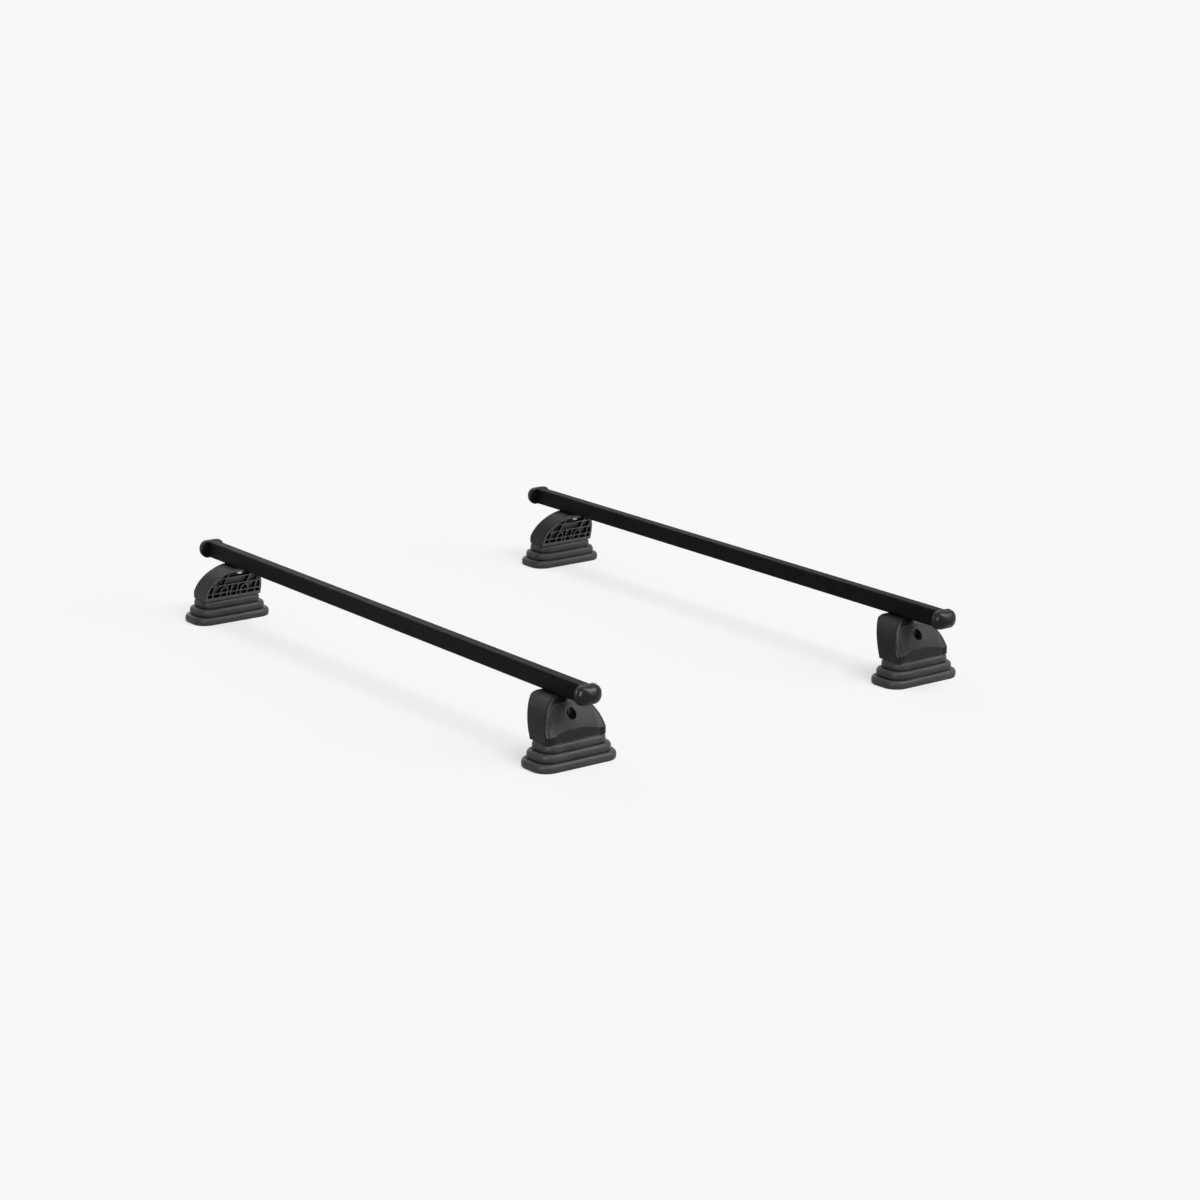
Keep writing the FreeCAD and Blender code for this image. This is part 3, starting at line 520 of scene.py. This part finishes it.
def hexagon_head():
    """A head that stands on its seat at z = 0, with its corners chamfered at the top."""
    bm = bmesh.new()
    radius = HEX_FLATS / math.sqrt(3.0)
    bmesh.ops.create_cone(
        bm, cap_ends=True, segments=HEX_SIDES, radius1=radius, radius2=radius, depth=HEX_HEIGHT,
        matrix=Matrix.Translation((0.0, 0.0, HEX_HEIGHT / 2)),
    )
    for cut in range(CHAMFER_CUTS):
        turn = 2.0 * math.pi * cut / CHAMFER_CUTS
        outwards = Vector((math.cos(turn), math.sin(turn), 0.0))
        slope = outwards * math.sin(CHAMFER_ANGLE) + Vector((0.0, 0.0, math.cos(CHAMFER_ANGLE)))
        cut_away(bm, outwards * HEX_FACE_RADIUS + Vector((0.0, 0.0, HEX_HEIGHT)), slope)
        bmesh.ops.holes_fill(bm, edges=open_edges(bm), sides=0)
    return bm


def plain_shank(bm, low, high):
    """Adds a round shank between two levels, with its lower edge broken."""
    shank = bmesh.ops.create_cone(
        bm, cap_ends=True, segments=SHANK_STEPS, radius1=SHANK_RADIUS, radius2=SHANK_RADIUS,
        depth=high - low, matrix=Matrix.Translation((0.0, 0.0, (low + high) / 2)),
    )["verts"]
    rim = [e for e in bm.edges if at_level(e, low) and all(v in shank for v in e.verts)]
    bmesh.ops.bevel(
        bm, geom=rim, offset=SHANK_CHAMFER, offset_type="OFFSET", affect="EDGES", segments=1,
        profile=0.5, material=-1,
    )


def cut_thread(low, high):
    """A screw thread between two levels, cut flat at both ends."""
    bm = bmesh.new()
    crest = (THREAD_PITCH - CREST_WIDTH) / 2
    flank = (
        (THREAD_ROOT, 0.0),
        (THREAD_RADIUS, crest),
        (THREAD_RADIUS, crest + CREST_WIDTH),
        (THREAD_ROOT, THREAD_PITCH),
    )
    start = low - TURNS_BELOW * THREAD_PITCH
    line = [bm.verts.new((radius, 0.0, start + rise)) for radius, rise in flank]
    for first, second in zip(line, line[1:]):
        bm.edges.new((first, second))
    turns = math.ceil((high - low) / THREAD_PITCH) + SPARE_TURNS
    bmesh.ops.spin(
        bm, geom=bm.verts[:] + bm.edges[:], cent=(0.0, 0.0, 0.0), axis=(0.0, 0.0, 1.0),
        dvec=(0.0, 0.0, THREAD_PITCH / STEPS_PER_TURN), angle=2.0 * math.pi * turns,
        steps=STEPS_PER_TURN * turns, use_merge=False, use_duplicate=False,
    )
    bmesh.ops.remove_doubles(bm, verts=bm.verts, dist=SAME)
    bmesh.ops.recalc_face_normals(bm, faces=bm.faces)
    for level, direction in ((low, -1.0), (high, 1.0)):
        cut_away(bm, (0.0, 0.0, level), (0.0, 0.0, direction))
    for level in (low, high):
        bmesh.ops.holes_fill(bm, edges=open_edges(bm, level), sides=0)
    return bm


def threaded_bolt(neck, end):
    """A bolt with its seat at z = 0: head above it, plain neck and threaded end below it."""
    bm = hexagon_head()
    plain_shank(bm, -neck - OVERLAP, OVERLAP)
    join(bm, cut_thread(-end, -neck))
    return bm


def set_of_bolts(name, bolt, places, heads_turn):
    """One piece of several bolts, with their heads turned about the X axis."""
    pattern = bpy.data.meshes.new(name + "_pattern")
    bolt.to_mesh(pattern)
    bolt.free()
    bm = bmesh.new()
    turn = Matrix.Rotation(heads_turn, 4, "X")
    for spot in places:
        before = len(bm.verts)
        bm.from_mesh(pattern)
        bm.verts.ensure_lookup_table()
        bmesh.ops.transform(bm, matrix=in_metres(spot, turn), verts=bm.verts[before:])
    bpy.data.meshes.remove(pattern)
    new_piece(name, bm, "zinc_steel", name.removesuffix("_threaded"))


def make_bolts():
    """Roof bolts point down, threaded below the pads; bar bolts point up into the tubes."""
    roof_places = []
    bar_places = []
    for x, y in FOOT_PLACES:
        outboard = math.copysign(1.0, y)
        roof_places.append((x, y + outboard * ROOF_BOLT_OUTBOARD, ROOF_BOLT_SEAT))
        for inboard in BAR_BOLTS_INBOARD:
            bar_places.append((x, y - outboard * inboard, BAR_BOLT_SEAT))
    roof_bolt = threaded_bolt(ROOF_BOLT_SEAT, ROOF_BOLT_SEAT - ROOF_BOLT_END)
    bar_bolt = threaded_bolt(BAR_BOLT_NECK, BAR_BOLT_END - BAR_BOLT_SEAT)
    set_of_bolts("roof_bolts_threaded", roof_bolt, roof_places, 0.0)
    set_of_bolts("bar_bolts_threaded", bar_bolt, bar_places, math.pi)


# Mouldings: level rounded outlines grown one on another

def grow_ring(bm, face, ring, last):
    """Extrudes the end face to the next ring's level and half sizes."""
    grown = bmesh.ops.extrude_face_region(bm, geom=[face])["geom"]
    verts = [item for item in grown if isinstance(item, bmesh.types.BMVert)]
    bmesh.ops.scale(bm, vec=(ring[1] / last[1], ring[2] / last[2], 1.0), verts=verts)
    bmesh.ops.translate(bm, vec=(0.0, 0.0, ring[0] - last[0]), verts=verts)
    bmesh.ops.delete(bm, geom=[face], context="FACES_ONLY")
    return next(item for item in grown if isinstance(item, bmesh.types.BMFace))


def stacked_rings(corner, rings):
    """A moulding that is open below; each ring is a level and two half sizes."""
    bm = bmesh.new()
    bmesh.ops.create_grid(bm, x_segments=1, y_segments=1, size=1.0)
    level, half_width, half_depth = rings[0]
    bmesh.ops.scale(bm, vec=(half_width, half_depth, 1.0), verts=bm.verts)
    bmesh.ops.translate(bm, vec=(0.0, 0.0, level), verts=bm.verts)
    bmesh.ops.bevel(
        bm, geom=bm.verts[:], offset=corner, offset_type="OFFSET", affect="VERTICES",
        segments=CORNER_STEPS, profile=0.5, material=-1,
    )
    face = bm.faces[:][0]
    for last, ring in zip(rings, rings[1:]):
        face = grow_ring(bm, face, ring, last)
    return bm


# Rubber pads: three bulging tiers with grooves between them, drilled for the roof bolt

def drill(bm, level, shift):
    """Closes the end at a level round a bolt hole; returns the hole's edges."""
    ends = [face for face in bm.faces if at_level(face, level)]
    bmesh.ops.delete(bm, geom=ends, context="FACES_ONLY")
    hole = bmesh.ops.create_circle(
        bm, segments=HOLE_STEPS, radius=PAD_HOLE_RADIUS,
        matrix=Matrix.Translation((0.0, shift, level)),
    )["verts"]
    hole_edges = [edge for edge in bm.edges if all(v in hole for v in edge.verts)]
    bmesh.ops.triangle_fill(bm, use_beauty=True, edges=open_edges(bm, level) + hole_edges)
    return hole_edges


def moulded_pad(shift):
    """A pad about its own middle, with its underside at z = 0 and its bolt hole shifted."""
    rings = []
    for tier, (width, depth) in enumerate(PAD_TIERS):
        for rise, inset in TIER_PROFILE:
            level = tier * TIER_HEIGHT + rise
            if level >= 0.0:
                rings.append((level, width / 2 - inset, depth / 2 - inset))
    bm = stacked_rings(PAD_CORNER, rings)
    low = drill(bm, 0.0, shift)
    high = drill(bm, len(PAD_TIERS) * TIER_HEIGHT, shift)
    bmesh.ops.bridge_loops(bm, edges=low + high)
    bmesh.ops.recalc_face_normals(bm, faces=bm.faces)
    return bm


def make_pads():
    """A moulded pad under each foot, with its bolt hole outboard of the foot's middle."""
    for foot, (x, y) in zip(FEET, FOOT_PLACES):
        bm = moulded_pad(math.copysign(ROOF_BOLT_OUTBOARD, y))
        place = in_metres((x, y, 0.0), Matrix.Identity(4))
        bmesh.ops.transform(bm, matrix=place, verts=bm.verts)
        pad = new_piece("moulded_pad_" + foot, bm, "pad_rubber", "rubber_pad_" + foot)
        smooth_shading(pad)


# End caps: a domed head with a rim bead, and a hollow plug for the tube

def hollow_plug():
    """A plug from the tube's end at z = 0 downwards, open at its far end."""
    bm = bmesh.new()
    bmesh.ops.create_cube(bm, size=2.0)
    bmesh.ops.translate(bm, vec=(0.0, 0.0, -1.0), verts=bm.verts)
    bmesh.ops.scale(bm, vec=(*PLUG_HALF_SIZES, PLUG_LENGTH / 2), verts=bm.verts)
    mouth = min(bm.faces, key=lambda face: face.calc_center_median().z)
    bmesh.ops.inset_region(bm, faces=[mouth], thickness=PLUG_WALL)
    bmesh.ops.translate(bm, vec=(0.0, 0.0, PLUG_LENGTH - PLUG_WALL), verts=mouth.verts)
    bmesh.ops.translate(bm, vec=(0.0, 0.0, OVERLAP), verts=bm.verts)
    return bm


def domed_cap():
    """An end cap with the tube's end at z = 0, the dome above it and the plug below it."""
    width, height = CAP_HALF_SIZES
    rings = [(level, width - inset, height - inset) for level, inset in CAP_RIM]
    start, width, height = rings[-1]
    for step in range(1, DOME_STEPS + 1):
        turn = math.pi / 2 * DOME_END * step / DOME_STEPS
        shrink = math.cos(turn) ** (2.0 / DOME_POWER)
        rise = math.sin(turn) ** (2.0 / DOME_POWER)
        rings.append((start + (CAP_TIP - start) * rise, width * shrink, height * shrink))
    bm = stacked_rings(CAP_CORNER, rings)
    bmesh.ops.holes_fill(bm, edges=open_edges(bm), sides=0)
    bmesh.ops.recalc_face_normals(bm, faces=bm.faces)
    join(bm, hollow_plug())
    return bm


def make_end_caps():
    """A domed cap on each end of both tubes."""
    for foot, (x, y) in zip(FEET, FOOT_PLACES):
        bm = domed_cap()
        outwards = Matrix.Rotation(-math.copysign(math.pi / 2, y), 4, "X")
        place = in_metres((x, math.copysign(TUBE_END, y), TUBE_MIDDLE), outwards)
        bmesh.ops.transform(bm, matrix=place, verts=bm.verts)
        cap = new_piece("domed_cap_" + foot, bm, "cap_plastic", "end_cap_" + foot)
        smooth_shading(cap)


# Stage: a pale floor at the pads' undersides, white to the camera where no shadow falls

def seen_rays(tree):
    """1 for the rays that see the background: from the camera, off gloss or through glass."""
    rays = add(tree, "ShaderNodeLightPath")
    seen = maths(tree, "MAXIMUM", rays.outputs["Is Camera Ray"], rays.outputs["Is Glossy Ray"])
    return maths(tree, "MAXIMUM", seen, rays.outputs["Is Transmission Ray"])


def make_floor():
    """A wide pale floor: matt paint that keeps the shadows, with a share of even white."""
    mesh = bpy.data.meshes.new("floor")
    bm = bmesh.new()
    bmesh.ops.create_grid(bm, x_segments=1, y_segments=1, size=FLOOR_SIZE)
    bm.to_mesh(mesh)
    bm.free()
    floor = bpy.data.objects.new("floor", mesh)
    bpy.context.scene.collection.objects.link(floor)
    material = bpy.data.materials.new("pale_floor")
    material.use_nodes = True
    tree = material.node_tree
    tree.nodes.clear()
    paint = add(tree, "ShaderNodeBsdfDiffuse", {"Color": (*grey(FLOOR_PAINT, 1.0), 1.0)})
    white = add(tree, "ShaderNodeEmission", {"Color": WHITE, "Strength": 1.0})
    mix = add(tree, "ShaderNodeMixShader")
    out = add(tree, "ShaderNodeOutputMaterial")
    share = maths(tree, "MULTIPLY", seen_rays(tree), FLOOR_WHITE_SHARE)
    tree.links.new(share, mix.inputs["Fac"])
    tree.links.new(paint.outputs[0], mix.inputs[1])
    tree.links.new(white.outputs[0], mix.inputs[2])
    tree.links.new(mix.outputs[0], out.inputs["Surface"])
    mesh.materials.append(material)


def make_room():
    """An even white room: dimmer as a light than as the background that gloss shows."""
    world = bpy.data.worlds.new("studio")
    bpy.context.scene.world = world
    world.use_nodes = True
    tree = world.node_tree
    background = tree.nodes["Background"]
    background.inputs["Color"].default_value = WHITE
    lift = maths(tree, "MULTIPLY", seen_rays(tree), 1.0 - ROOM_LIGHT)
    tree.links.new(maths(tree, "ADD", lift, ROOM_LIGHT), background.inputs["Strength"])


def place_lamp(name, lamp, place, aim):
    """A lamp that faces a point and that the camera doesn't see."""
    thing = bpy.data.objects.new(name, lamp)
    thing.location = place
    thing.rotation_euler = (Vector(aim) - Vector(place)).to_track_quat("-Z", "Y").to_euler()
    thing.visible_camera = False
    bpy.context.scene.collection.objects.link(thing)
    return thing


def wide_light(name, place, strength, spread):
    """Wide even light from one side, the same over the whole floor."""
    lamp = bpy.data.lights.new(name, "SUN")
    lamp.energy = strength
    lamp.angle = math.radians(spread)
    place_lamp(name, lamp, place, (0.0, 0.0, 0.0))


def gloss_panel(name, place, aim, width, height, power):
    """A rectangular panel that shows in gloss and leaves the matt tones and the floor alone."""
    lamp = bpy.data.lights.new(name, "AREA")
    lamp.shape = "RECTANGLE"
    lamp.size, lamp.size_y = width, height
    lamp.energy = power
    place_lamp(name, lamp, place, aim).visible_diffuse = False


def light_the_stage():
    make_room()
    for name, values in WIDE_LIGHTS.items():
        wide_light(name, **values)
    for name, values in GLOSS_PANELS.items():
        gloss_panel(name, **values)


def set_camera():
    """The photograph's view: lens, place, and the turn, tilt and roll of the camera."""
    camera = bpy.data.cameras.new("camera")
    camera.sensor_width = SENSOR
    camera.lens = LENS
    camera.clip_end = CLIP_END
    thing = bpy.data.objects.new("camera", camera)
    turn = Matrix.Rotation(math.radians(AZIMUTH), 4, "Z")
    tilt = Matrix.Rotation(math.radians(90.0 - ELEVATION), 4, "X")
    roll = Matrix.Rotation(math.radians(ROLL), 4, "Z")
    thing.matrix_world = Matrix.Translation(CAMERA_PLACE) @ turn @ tilt @ roll
    bpy.context.scene.collection.objects.link(thing)
    bpy.context.scene.camera = thing


dress_nodes()
make_bolts()
make_pads()
make_end_caps()
make_floor()
light_the_stage()
set_camera()
bpy.context.scene.view_settings.view_transform = "Standard"
